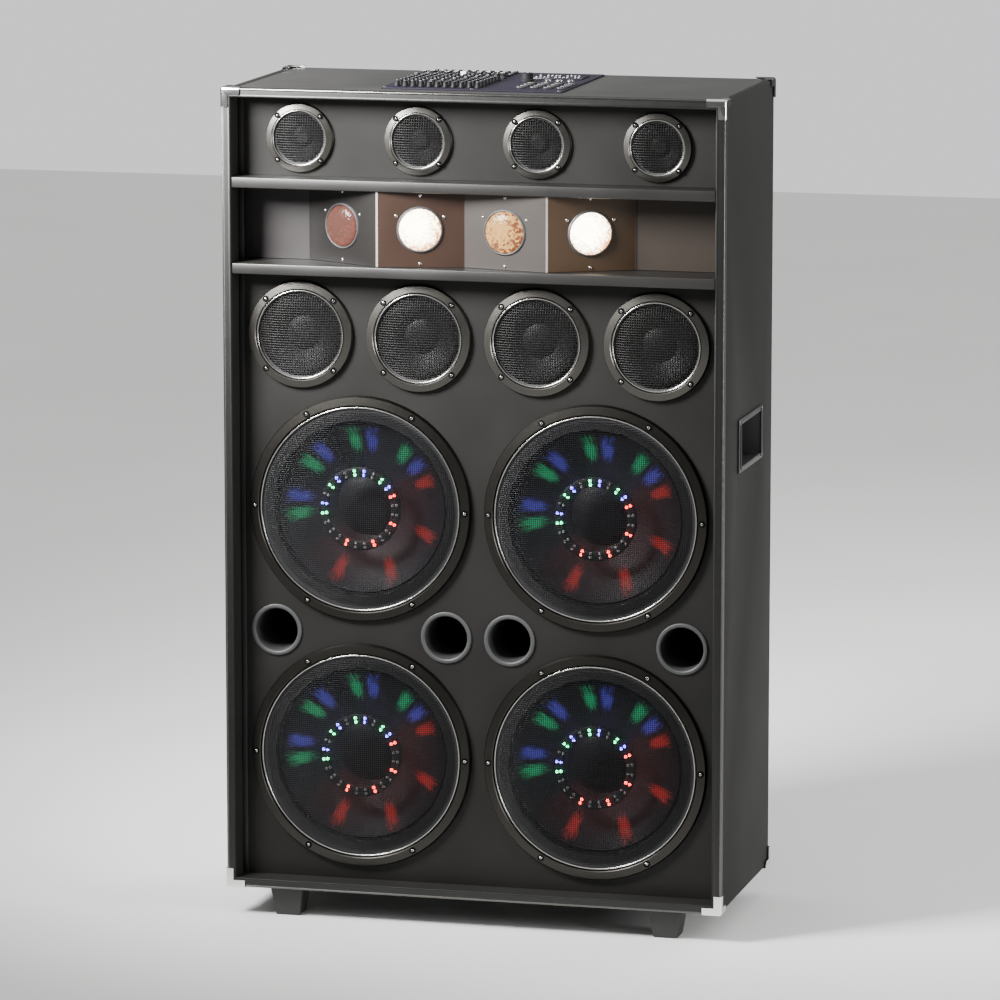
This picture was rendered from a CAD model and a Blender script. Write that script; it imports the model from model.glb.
"""Finished look of a tall party speaker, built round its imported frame.

Every piece is made in the frame's own metres: +Z is up and the front faces -Y.
"""

import math

import bmesh
import bpy
from bpy.props import FloatProperty, FloatVectorProperty, IntProperty, PointerProperty
from mathutils import Euler, Matrix, Vector


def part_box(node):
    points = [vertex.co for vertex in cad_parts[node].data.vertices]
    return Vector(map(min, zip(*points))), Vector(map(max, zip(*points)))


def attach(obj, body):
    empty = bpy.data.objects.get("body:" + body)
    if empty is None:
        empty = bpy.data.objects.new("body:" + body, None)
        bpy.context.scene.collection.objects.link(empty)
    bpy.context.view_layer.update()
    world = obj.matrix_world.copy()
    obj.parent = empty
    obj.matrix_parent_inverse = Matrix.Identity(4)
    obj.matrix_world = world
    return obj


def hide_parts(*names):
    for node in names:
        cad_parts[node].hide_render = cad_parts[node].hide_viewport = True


bl_info = {
    "name": "Party Speaker",
    "version": (1, 0, 0),
    "blender": (4, 5, 0),
    "location": "View3D > Sidebar > Party Speaker",
    "description": "Builds the finished pieces of a tall party speaker round its frame",
    "category": "Object",
}

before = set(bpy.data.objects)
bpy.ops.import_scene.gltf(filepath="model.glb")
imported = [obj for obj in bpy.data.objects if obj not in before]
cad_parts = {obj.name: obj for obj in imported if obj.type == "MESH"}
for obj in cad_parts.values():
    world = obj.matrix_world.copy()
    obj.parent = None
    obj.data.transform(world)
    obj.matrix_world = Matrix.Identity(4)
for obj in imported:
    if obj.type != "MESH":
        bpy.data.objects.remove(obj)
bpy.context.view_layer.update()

CABINET = "cabinet"
SIDE_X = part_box("side_panel_right")[1].x
FRONT_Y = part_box("side_panel_right")[0].y
BOTTOM_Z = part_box("side_panel_right")[0].z
TOP_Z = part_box("side_panel_right")[1].z
INNER_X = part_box("main_baffle")[1].x
BAFFLE_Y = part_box("main_baffle")[0].y
PLATE_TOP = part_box("mixer_and_amplifier")[1].z
FRONT_TURN = Matrix.Rotation(math.pi / 2, 4, "X")
# edges sharper than this are shaded sharp; plates with cut-outs need the smaller angle
SMOOTH_ANGLE = math.radians(35)
FLAT_ANGLE = math.radians(12)
NO_TURN = (0.0, 0.0, 0.0)
SAME_PLACE = 1e-4

WOOFERS = ("upper_left", "upper_right", "lower_left", "lower_right")
LENSES = {1: "lens_dim", 2: "lens_lit", 3: "lens_warm", 4: "lens_lit"}

# the LEDs of a woofer's ring run clockwise from the first angle, in degrees
LED_COUNT = 24
LED_FIRST_ANGLE = 113.0
LED_COLOURS = ("red", "green", "blue")
LIT_LEDS = (1, 2, 4, 5, 6, 9, 12, 15, 19, 20, 22, 23)
LED_TONES = {"red": (1.0, 0.045, 0.03), "green": (0.02, 0.85, 0.32), "blue": (0.14, 0.12, 1.0)}
LED_HAZE = {"red": (1.0, 0.22, 0.22), "green": (0.16, 0.26, 0.30), "blue": (0.30, 0.26, 0.62)}
CONE_WASH = 0.36
CONE_UV_REACH = 0.1
# where a lamp shines on its lens's UV map, and how far its glow reaches
LAMP_SPOT = (0.40, 0.60)
LAMP_REACH = 0.62

MATERIALS = {}
TREES = {}


# ---------------------------------------------------------------- settings
def length(name, description, default):
    return FloatProperty(
        name=name, description=description, default=default, min=0.0, unit="LENGTH", precision=4,
    )


def colour(name, description, default):
    return FloatVectorProperty(
        name=name, description=description, default=default, subtype="COLOR",
        min=0.0, max=1.0, size=3,
    )


class CabinetSettings(bpy.types.PropertyGroup):
    vinyl: colour("Vinyl", "Colour of the cabinet's vinyl skin", (0.0150, 0.0147, 0.0137))
    baffle: colour("Baffle", "Colour of the front boards", (0.0105, 0.0099, 0.0090))
    trim: colour("Edge trim", "Colour of the front edge strip", (0.040, 0.040, 0.039))
    edge: length("Board edge", "Radius of the boards' rounded edges", 0.0014)
    batten: length("Batten", "Width of the strip where baffle and wall meet", 0.008)
    corner_leg: length("Corner leg", "Length of a corner protector's legs", 0.029)
    corner_width: length("Corner width", "Width of a corner protector's legs", 0.0115)


class WooferSettings(bpy.types.PropertyGroup):
    ring: colour("Ring", "Colour of the trim rings", (0.115, 0.110, 0.100))
    pitch: length("Mesh pitch", "Distance between the wires of the woofer mesh", 0.0030)
    wire: length("Mesh wire", "Thickness of the woofer mesh's wires", 0.0008)
    dome: length("Mesh dome", "Height of the mesh's dome", 0.0080)
    screws: IntProperty(name="Screws", description="Screws in each ring", default=6, min=3)
    led_radius: length("LED ring", "Radius of the ring of LEDs", 0.0565)


class DriverSettings(bpy.types.PropertyGroup):
    pitch: length("Mesh pitch", "Distance between the wires of the small meshes", 0.0036)
    wire: length("Mesh wire", "Thickness of the small meshes' wires", 0.0014)
    screws: IntProperty(name="Screws", description="Screws in each ring", default=4, min=3)


class LightSettings(bpy.types.PropertyGroup):
    glow: FloatProperty(
        name="Glow", description="Strength of the two bright lamps", default=16.0, min=0.0,
    )
    lens_radius: length("Lens", "Radius of a lens", 0.0300)


class MixerSettings(bpy.types.PropertyGroup):
    columns: IntProperty(name="Columns", description="Columns of controls", default=11, min=1)
    pitch: length("Column pitch", "Distance between the columns", 0.012)
    plate: colour("Plate", "Colour of the mixer plate", (0.012, 0.009, 0.018))


class StageSettings(bpy.types.PropertyGroup):
    camera: FloatVectorProperty(
        name="Camera", description="Where the camera stands", default=(2.163, -8.366, 2.073),
        subtype="TRANSLATION",
    )
    azimuth: FloatProperty(
        name="Azimuth", description="Turn of the camera to its left", subtype="ANGLE",
        default=math.radians(14.50),
    )
    elevation: FloatProperty(
        name="Elevation", description="Tilt of the camera below level", subtype="ANGLE",
        default=math.radians(9.625),
    )
    lens: FloatProperty(name="Lens", description="Focal length", default=214.95, unit="CAMERA")
    floor: colour("Floor", "Colour of the studio floor", (0.86, 0.86, 0.85))


class SpeakerSettings(bpy.types.PropertyGroup):
    cabinet: PointerProperty(type=CabinetSettings)
    woofer: PointerProperty(type=WooferSettings)
    driver: PointerProperty(type=DriverSettings)
    lights: PointerProperty(type=LightSettings)
    mixer: PointerProperty(type=MixerSettings)
    stage: PointerProperty(type=StageSettings)


# ---------------------------------------------------------------- node helpers
def add(tree, kind, inputs=None, **settings):
    """One node with its settings, and its inputs given as values or as sockets to join."""
    node = tree.nodes.new(kind)
    for name, value in settings.items():
        setattr(node, name, value)
    for key, value in (inputs or {}).items():
        socket = node.inputs[key]
        if isinstance(value, bpy.types.NodeSocket):
            tree.links.new(value, socket)
        else:
            socket.default_value = value
    return node


def maths(tree, operation, *values):
    inputs = dict(enumerate(values))
    return add(tree, "ShaderNodeMath", inputs, operation=operation).outputs[0]


def vector(tree, x=0.0, y=0.0, z=0.0):
    return add(tree, "ShaderNodeCombineXYZ", {"X": x, "Y": y, "Z": z}).outputs[0]


def spread(tree, value, low, high, start=0.0, end=1.0):
    """Value's stretch from start to end, spread over low to high."""
    inputs = {"Value": value, "From Min": start, "From Max": end, "To Min": low, "To Max": high}
    return add(tree, "ShaderNodeMapRange", inputs).outputs["Result"]


def noise(tree, coords, scale, detail=2.0):
    inputs = {"Vector": coords, "Scale": scale, "Detail": detail}
    return add(tree, "ShaderNodeTexNoise", inputs).outputs["Fac"]


def bump(tree, shader, height, strength, distance):
    inputs = {"Height": height, "Strength": strength, "Distance": distance}
    normal = add(tree, "ShaderNodeBump", inputs).outputs["Normal"]
    tree.links.new(normal, shader.inputs["Normal"])


def times(tree, value, factor):
    """A colour or vector scaled by a number."""
    inputs = {0: value, "Scale": factor}
    return add(tree, "ShaderNodeVectorMath", inputs, operation="SCALE").outputs["Vector"]


def from_spot(tree, x, y):
    """How far right of a spot on the UV map, how far above it, and how far from it."""
    flat = add(tree, "ShaderNodeTexCoord").outputs["UV"]
    parts = add(tree, "ShaderNodeSeparateXYZ", {0: flat})
    across = maths(tree, "SUBTRACT", parts.outputs["X"], x)
    up = maths(tree, "SUBTRACT", parts.outputs["Y"], y)
    squares = maths(tree, "ADD", maths(tree, "POWER", across, 2.0), maths(tree, "POWER", up, 2.0))
    return across, up, maths(tree, "SQRT", squares)


def ramp(tree, factor, stops, interpolation="LINEAR"):
    """Colour ramp of (position, colour) stops."""
    node = add(tree, "ShaderNodeValToRGB", {"Fac": factor})
    node.color_ramp.interpolation = interpolation
    elements = node.color_ramp.elements
    while len(elements) > 1:
        elements.remove(elements[0])
    elements[0].position = stops[0][0]
    elements[0].color = (*stops[0][1], 1.0)
    for position, tone in stops[1:]:
        elements.new(position).color = (*tone, 1.0)
    return node.outputs["Color"]


def scaled(tone, amount):
    return tuple(min(1.0, part * amount) for part in tone)


# ---------------------------------------------------------------- materials
def blank_material(name, **values):
    """Material with its tree, its shader and object coordinates; values go on the shader's sockets."""
    material = bpy.data.materials.new(name)
    material.use_nodes = True
    tree = material.node_tree
    shader = tree.nodes["Principled BSDF"]
    for key, value in values.items():
        shader.inputs[key.replace("_", " ")].default_value = value
    coords = add(tree, "ShaderNodeTexCoord").outputs["Object"]
    return material, tree, shader, coords


def tone_and_gloss(tree, shader, factor, tone, roughness, mottle=0.15, sway=0.05):
    """Uneven colour and roughness, both read from one noise."""
    stops = ((0.3, scaled(tone, 1 - mottle)), (0.7, scaled(tone, 1 + mottle)))
    tree.links.new(ramp(tree, factor, stops), shader.inputs["Base Color"])
    gloss = spread(tree, factor, roughness - sway, roughness + sway, 0.3, 0.7)
    tree.links.new(gloss, shader.inputs["Roughness"])


def grained_skin(name, tone, roughness, grain, depth, specular=0.5):
    """Pressed vinyl, paint or moulded plastic: small pebbles over a slow unevenness."""
    material, tree, shader, coords = blank_material(name, Specular_IOR_Level=specular)
    tone_and_gloss(tree, shader, noise(tree, coords, 7.0, 6.0), tone, roughness)
    pebbles = add(tree, "ShaderNodeTexVoronoi", {"Vector": coords, "Scale": grain})
    height = maths(tree, "ADD", pebbles.outputs["Distance"], noise(tree, coords, grain * 2))
    bump(tree, shader, height, 0.35, depth)
    return material


def brushed_metal(name, tone, roughness, stretch):
    """Metal with a fine grain, which a stretch that differs by axis draws out into scratches."""
    material, tree, shader, coords = blank_material(name, Metallic=1.0)
    drawn = add(tree, "ShaderNodeMapping", {"Vector": coords, "Scale": stretch})
    scratch = noise(tree, drawn.outputs[0], 3.0, 3.0)
    tone_and_gloss(tree, shader, scratch, tone, roughness, 0.04, 0.012)
    bump(tree, shader, scratch, 0.012, 0.0001)
    return material


def glowing(name, tone, strength):
    """A small lamp with an even glow and a slightly uneven gloss."""
    solid = (*tone, 1.0)
    material, tree, shader, coords = blank_material(
        name, Base_Color=solid, Emission_Color=solid, Emission_Strength=strength,
    )
    gloss = spread(tree, noise(tree, coords, 400.0), 0.18, 0.32)
    tree.links.new(gloss, shader.inputs["Roughness"])
    return material


def led_gap(first, second):
    """Steps between two LEDs, the shorter way round the ring."""
    return min((first - second) % LED_COUNT, (second - first) % LED_COUNT)


def wash_stops():
    """Tone that each LED throws on the cone, black where it is off."""
    stops = []
    for number in range(LED_COUNT):
        tone = LED_TONES[LED_COLOURS[number % 3]] if number in LIT_LEDS else (0, 0, 0)
        stops.append((number / LED_COUNT, tone))
    return stops


def haze_stops():
    """Tone of the haze at each LED, taken from the nearest one that is lit."""
    stops = []
    for number in range(LED_COUNT):
        near = min(LIT_LEDS, key=lambda led: led_gap(number, led))
        stops.append((number / LED_COUNT, LED_HAZE[LED_COLOURS[near % 3]]))
    return stops


def led_patch(tree, radius, place, streaks):
    """Strength of the ragged patch of light that each LED throws on the cone."""
    off_middle = maths(tree, "ABSOLUTE", maths(tree, "SUBTRACT", maths(tree, "FRACT", place), 0.5))
    wander = spread(tree, streaks, -0.12, 0.12, 0.25, 0.75)
    narrow = spread(tree, maths(tree, "ADD", off_middle, wander), 1.0, 0.0, 0.16, 0.42)
    drift = spread(tree, streaks, -0.009, 0.009, 0.25, 0.75)
    shifted = maths(tree, "ADD", radius, drift)
    inner = spread(tree, shifted, 0.0, 1.0, 0.078, 0.090)
    outer = spread(tree, shifted, 1.0, 0.0, 0.104, 0.120)
    return maths(tree, "MULTIPLY", maths(tree, "MULTIPLY", inner, outer), narrow)


def led_haze(tree, radius, streaks):
    """Strength of the faint light that lies all round, beyond the ring of LEDs."""
    beyond_ring = spread(tree, radius, 0.0, 1.0, 0.040, 0.060)
    fading = spread(tree, radius, 0.085, 0.008, 0.060, 0.120)
    return maths(tree, "MULTIPLY", maths(tree, "MULTIPLY", fading, beyond_ring), streaks)


def cone_material():
    """Glossy black cone, washed with the coloured light of the LED ring.

    The cone's UV map is flat: 0.5, 0.5 is its middle and 0.5 away is CONE_UV_REACH metres.
    """
    material, tree, shader, coords = blank_material(
        "woofer_cone_coating", Specular_IOR_Level=0.10, Emission_Strength=1.0,
    )
    across, up, away = from_spot(tree, 0.5, 0.5)
    radius = maths(tree, "MULTIPLY", away, 2 * CONE_UV_REACH)
    angle = maths(tree, "ARCTAN2", up, across)
    from_first = maths(tree, "SUBTRACT", math.radians(LED_FIRST_ANGLE), angle)
    turns = maths(tree, "DIVIDE", from_first, 2 * math.pi / LED_COUNT)
    place = maths(tree, "WRAP", maths(tree, "ADD", turns, 0.5), LED_COUNT, 0.0)
    along = maths(tree, "DIVIDE", place, LED_COUNT)
    rays = vector(tree, maths(tree, "MULTIPLY", angle, 22.0), maths(tree, "MULTIPLY", radius, 55.0))
    streaks = noise(tree, rays, 1.6, 4.0)

    wash = ramp(tree, along, wash_stops(), "CONSTANT")
    patch = led_patch(tree, radius, place, streaks)
    bright = times(tree, wash, maths(tree, "MULTIPLY", patch, CONE_WASH))
    dim = times(tree, ramp(tree, along, haze_stops(), "EASE"), led_haze(tree, radius, streaks))
    glow = add(tree, "ShaderNodeVectorMath", {0: bright, 1: dim}, operation="ADD")
    tree.links.new(glow.outputs["Vector"], shader.inputs["Emission Color"])
    cloud = noise(tree, coords, 60.0, 4.0)
    tone_and_gloss(tree, shader, cloud, (0.011, 0.011, 0.013), 0.50, 0.12)
    return material


def lens_material(name, glow, core, rim, facet):
    """Clear lens of many small facets over a lamp, from its glowing core out to its rim.

    The lens's UV map is flat: 0.5, 0.5 is its middle and 0.5 away is its rim.
    """
    material, tree, shader, coords = blank_material(
        name, Base_Color=(0.040, 0.020, 0.016, 1.0), Roughness=0.10, IOR=1.49,
        Specular_IOR_Level=0.12, Coat_Weight=0.05, Emission_Strength=glow,
    )
    away = from_spot(tree, *LAMP_SPOT)[2]
    outward = maths(tree, "MULTIPLY", away, 1.0 / LAMP_REACH)
    facets = add(tree, "ShaderNodeTexVoronoi", {"Vector": coords, "Scale": 300.0})
    cell = add(tree, "ShaderNodeSeparateColor", {0: facets.outputs["Color"]}).outputs[0]
    mixed = maths(tree, "MULTIPLY_ADD", cell, facet, outward)
    place = maths(tree, "SUBTRACT", mixed, facet * 0.5)
    shine = ramp(tree, place, ((0.0, core), (0.45, core), (1.0, rim)))
    tree.links.new(shine, shader.inputs["Emission Color"])
    bump(tree, shader, facets.outputs["Distance"], 0.4, 0.0010)
    return material


def light_panel_material():
    """Painted sheet whose facets were sprayed in slightly different tones."""
    material, tree, shader, coords = blank_material(
        "light_panel_paint", Specular_IOR_Level=0.3, Roughness=0.42,
    )
    across = add(tree, "ShaderNodeSeparateXYZ", {0: coords}).outputs["X"]
    place = spread(tree, across, 0.0, 1.0, -INNER_X, INNER_X)
    folds = [(corner.x + INNER_X) / (2 * INNER_X) for corner in panel_corners()[1:-1]]
    first_facet, half_line = (0.027, 0.024, 0.024), 0.0012
    # at each fold, from the left: the tone of its line, then that of the facet to its right
    tones = (
        ((0.003, 0.003, 0.003), (0.0065, 0.0055, 0.0050)),
        ((0.34, 0.30, 0.28), (0.025, 0.013, 0.0085)),
        ((0.30, 0.28, 0.26), (0.036, 0.030, 0.027)),
        ((0.30, 0.28, 0.26), (0.040, 0.024, 0.013)),
        ((0.004, 0.004, 0.004), (0.024, 0.018, 0.014)),
    )
    stops = [(0.0, first_facet)]
    for fold, (line, facet) in zip(folds, tones):
        stops += [(fold - half_line, line), (fold + half_line, facet)]
    shade = spread(tree, noise(tree, coords, 12.0, 5.0), 0.88, 1.12, 0.3, 0.7)
    mixed = times(tree, ramp(tree, place, stops, "CONSTANT"), shade)
    tree.links.new(mixed, shader.inputs["Base Color"])
    return material


def make_skins(settings):
    vinyl, baffle = settings.cabinet.vinyl, settings.cabinet.baffle
    # short name, full name, colour, roughness, scale of the grain, its depth, specular level
    skins = (
        ("top_vinyl", "top_vinyl", vinyl, 0.45, 900.0, 0.00018, 0.7),
        ("vinyl", "cabinet_vinyl", vinyl, 0.62, 900.0, 0.00018, 0.09),
        ("baffle", "baffle_vinyl", baffle, 0.48, 1100.0, 0.00010, 0.20),
        ("shelf", "shelf_vinyl", baffle, 0.40, 1100.0, 0.00010, 0.5),
        ("batten", "batten_paint", (0.005, 0.005, 0.006), 0.55, 700.0, 0.0001, 0.5),
        ("mesh", "mesh_wire", (0.011, 0.0105, 0.010), 0.36, 900.0, 0.00002, 0.15),
        ("fine_mesh", "fine_mesh_wire", (0.0045, 0.0045, 0.005), 0.30, 900.0, 0.00002, 0.20),
        ("steel", "basket_paint", (0.008, 0.008, 0.009), 0.45, 400.0, 0.0001, 0.5),
        ("recess", "recess_black", (0.002, 0.002, 0.002), 0.7, 700.0, 0.00005, 0.05),
        ("rubber", "surround_rubber", (0.007, 0.007, 0.008), 0.50, 300.0, 0.0001, 0.25),
        ("plastic", "moulded_plastic", (0.010, 0.010, 0.010), 0.42, 1400.0, 0.0001, 0.5),
        ("port", "port_plastic", (0.034, 0.034, 0.035), 0.50, 1400.0, 0.00005, 0.5),
        ("foot", "foot_plastic", (0.014, 0.014, 0.013), 0.60, 800.0, 0.0002, 0.5),
        ("plate", "mixer_plate_paint", settings.mixer.plate, 0.5, 1600.0, 0.00004, 0.15),
        ("knob", "knob_plastic", (0.007, 0.007, 0.008), 0.60, 1400.0, 0.0001, 0.16),
        ("mark", "mark_paint", (0.22, 0.22, 0.23), 0.5, 1500.0, 0.00005, 0.5),
        ("white", "white_plastic", (0.72, 0.72, 0.70), 0.38, 1500.0, 0.00005, 0.5),
        ("display", "display_glass", (0.012, 0.009, 0.018), 0.25, 300.0, 0.00001, 0.25),
    )
    for key, *values in skins:
        MATERIALS[key] = grained_skin(*values)


def make_metals(settings):
    strip_grain, ring_grain, drawn_grain = (60.0,) * 3, (90.0,) * 3, (40.0, 40.0, 600.0)
    # short name, full name, colour, roughness, stretch of the grain
    metals = (
        ("trim", "edge_strip", settings.cabinet.trim, 0.42, strip_grain),
        ("bead", "edge_bead", (0.11, 0.107, 0.10), 0.26, strip_grain),
        ("chrome", "corner_chrome", (0.80, 0.80, 0.79), 0.14, drawn_grain),
        ("ring", "ring_gunmetal", settings.woofer.ring, 0.30, ring_grain),
        ("dark_ring", "woofer_ring_gunmetal", (0.040, 0.038, 0.034), 0.32, ring_grain),
        ("lip", "ring_lip", (0.46, 0.45, 0.43), 0.22, ring_grain),
        ("screw", "screw_steel", (0.34, 0.33, 0.31), 0.20, drawn_grain),
        ("bright_screw", "small_screw_steel", (0.62, 0.60, 0.57), 0.22, drawn_grain),
    )
    for key, *values in metals:
        MATERIALS[key] = brushed_metal(*values)


def make_lenses(settings):
    # name, strength of the glow, tone of its core, tone of its rim, difference between facets
    lenses = (
        ("lens_lit", settings.lights.glow, (1.0, 0.88, 0.66), (0.20, 0.085, 0.025), 0.40),
        ("lens_dim", 1.0, (0.090, 0.022, 0.017), (0.24, 0.062, 0.045), 0.8),
        ("lens_warm", 1.7, (1.0, 0.56, 0.15), (0.20, 0.050, 0.016), 0.9),
    )
    for name, *values in lenses:
        MATERIALS[name] = lens_material(name, *values)


def make_materials():
    settings = bpy.context.scene.party_speaker
    make_skins(settings)
    make_metals(settings)
    make_lenses(settings)
    MATERIALS["light_panel"] = light_panel_material()
    MATERIALS["cone"] = cone_material()
    MATERIALS["unlit_led"] = glowing("unlit_led", (0.26, 0.25, 0.26), 0.03)
    for name, tone in LED_TONES.items():
        MATERIALS[name] = glowing(f"{name}_led", tone, 14.0)


# ---------------------------------------------------------------- mesh helpers
def linked(name, data):
    """Object with that data, in the scene."""
    obj = bpy.data.objects.new(name, data)
    bpy.context.scene.collection.objects.link(obj)
    return obj


def painted(node, material):
    """Sets the finish of a CAD node that is shown as it is."""
    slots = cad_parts[node].data.materials
    slots.clear()
    slots.append(MATERIALS[material])


def clean(bm, angle=SMOOTH_ANGLE):
    """Mesh data from a bmesh, faces out, smooth except at edges sharper than the angle."""
    bmesh.ops.recalc_face_normals(bm, faces=bm.faces)
    mesh = bpy.data.meshes.new("piece")
    bm.to_mesh(mesh)
    bm.free()
    mesh.shade_smooth()
    mesh.set_sharp_from_angle(angle=angle)
    return mesh


def turned(outline, sides=96):
    """Mesh of an outline of (radius, height) points spun round Z."""
    bm = bmesh.new()
    points = [bm.verts.new((radius, 0.0, height)) for radius, height in outline]
    pairs = list(zip(points, points[1:]))
    if outline[0][0] > 0:
        pairs.append((points[-1], points[0]))
    edges = [bm.edges.new(pair) for pair in pairs]
    bmesh.ops.spin(
        bm, geom=points + edges, cent=(0, 0, 0), axis=(0, 0, 1), angle=2 * math.pi,
        steps=sides, use_merge=True,
    )
    bmesh.ops.remove_doubles(bm, verts=bm.verts, dist=1e-6)
    return clean(bm)


def arc(centre, radius, start, end, steps):
    """Points of an arc in the (radius, height) plane, from start to end in degrees."""
    points = []
    for step in range(steps + 1):
        turn = math.radians(start + (end - start) * step / steps)
        points.append((centre[0] + radius * math.cos(turn), centre[1] + radius * math.sin(turn)))
    return points


def block(low, high, edge=0.0, segments=2):
    """Box between two corners, with rounded edges."""
    bm = bmesh.new()
    low, high = Vector(low), Vector(high)
    matrix = Matrix.Translation((high + low) / 2) @ Matrix.Diagonal((*(high - low), 1.0))
    bmesh.ops.create_cube(bm, size=1.0, matrix=matrix)
    if edge:
        bmesh.ops.bevel(
            bm, geom=list(bm.edges), offset=edge, segments=segments, profile=0.5, affect="EDGES",
        )
    return clean(bm)


def piece(name, mesh, material, body=CABINET, matrix=None, replaced=()):
    """A finished object: its place in its mesh, its material, its body and what it stands for."""
    if matrix is not None:
        mesh.transform(matrix)
        if matrix.determinant() < 0:
            mesh.flip_normals()
    mesh.name = name
    mesh.materials.clear()
    mesh.materials.append(MATERIALS[material])
    obj = linked(name, mesh)
    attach(obj, body)
    if replaced:
        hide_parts(*replaced)


def rounded_copy(node, edge, segments=2, angle=SMOOTH_ANGLE):
    """Mesh of a CAD node with its corners rounded off."""
    bm = bmesh.new()
    bm.from_mesh(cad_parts[node].data)
    bmesh.ops.remove_doubles(bm, verts=bm.verts, dist=1e-5)
    bmesh.ops.dissolve_limit(bm, angle_limit=math.radians(1), verts=bm.verts, edges=bm.edges)
    sharp = [e for e in bm.edges if len(e.link_faces) == 2 and e.calc_face_angle(0) > SMOOTH_ANGLE]
    bmesh.ops.bevel(
        bm, geom=sharp, offset=edge, segments=segments, profile=0.5, affect="EDGES",
        clamp_overlap=True,
    )
    return clean(bm, angle)


def cut_mesh(mesh, cutters):
    """Mesh with the cutter meshes taken out of it."""
    body = linked("blank", mesh)
    tools = [linked("cutter", cutter) for cutter in cutters]
    for tool in tools:
        boolean = body.modifiers.new("cut", "BOOLEAN")
        boolean.operation = "DIFFERENCE"
        boolean.solver = "EXACT"
        boolean.object = tool
    graph = bpy.context.evaluated_depsgraph_get()
    done = bpy.data.meshes.new_from_object(body.evaluated_get(graph))
    for obj in (body, *tools):
        bpy.data.objects.remove(obj, do_unlink=True)
    done.shade_smooth()
    done.set_sharp_from_angle(angle=SMOOTH_ANGLE)
    return done


def at_front(x, z):
    """Matrix that sets a turned piece on the baffle, facing the front."""
    return Matrix.Translation((x, BAFFLE_Y, z)) @ FRONT_TURN


def middle(node):
    low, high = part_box(node)
    return (low + high) / 2


# ---------------------------------------------------------------- geometry node trees
def new_tree(name, sockets):
    tree = bpy.data.node_groups.new(name, "GeometryNodeTree")
    for label, kind in sockets:
        tree.interface.new_socket(label, in_out="INPUT", socket_type=kind)
    tree.interface.new_socket("Geometry", in_out="OUTPUT", socket_type="NodeSocketGeometry")
    return tree, tree.nodes.new("NodeGroupInput").outputs, tree.nodes.new("NodeGroupOutput")


def end_tree(tree, geometry, material, output):
    real = add(tree, "GeometryNodeRealizeInstances", {0: geometry})
    painted = add(tree, "GeometryNodeSetMaterial", {"Geometry": real.outputs[0], "Material": material})
    tree.links.new(painted.outputs[0], output.inputs[0])


def scatter_tree():
    """Sets a part on every point of the carrier, turned by the point's "turn" attribute."""
    tree, given, output = new_tree("set_parts_on_marks", (
        ("Marks", "NodeSocketGeometry"), ("Part", "NodeSocketObject"), ("Material", "NodeSocketMaterial"),
    ))
    part = add(tree, "GeometryNodeObjectInfo", {"Object": given["Part"]})
    turn = add(tree, "GeometryNodeInputNamedAttribute", {"Name": "turn"}, data_type="FLOAT_VECTOR")
    parts = add(tree, "GeometryNodeInstanceOnPoints", {
        "Points": given["Marks"], "Instance": part.outputs["Geometry"],
        "Rotation": turn.outputs["Attribute"],
    })
    end_tree(tree, parts.outputs[0], given["Material"], output)
    return tree


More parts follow.
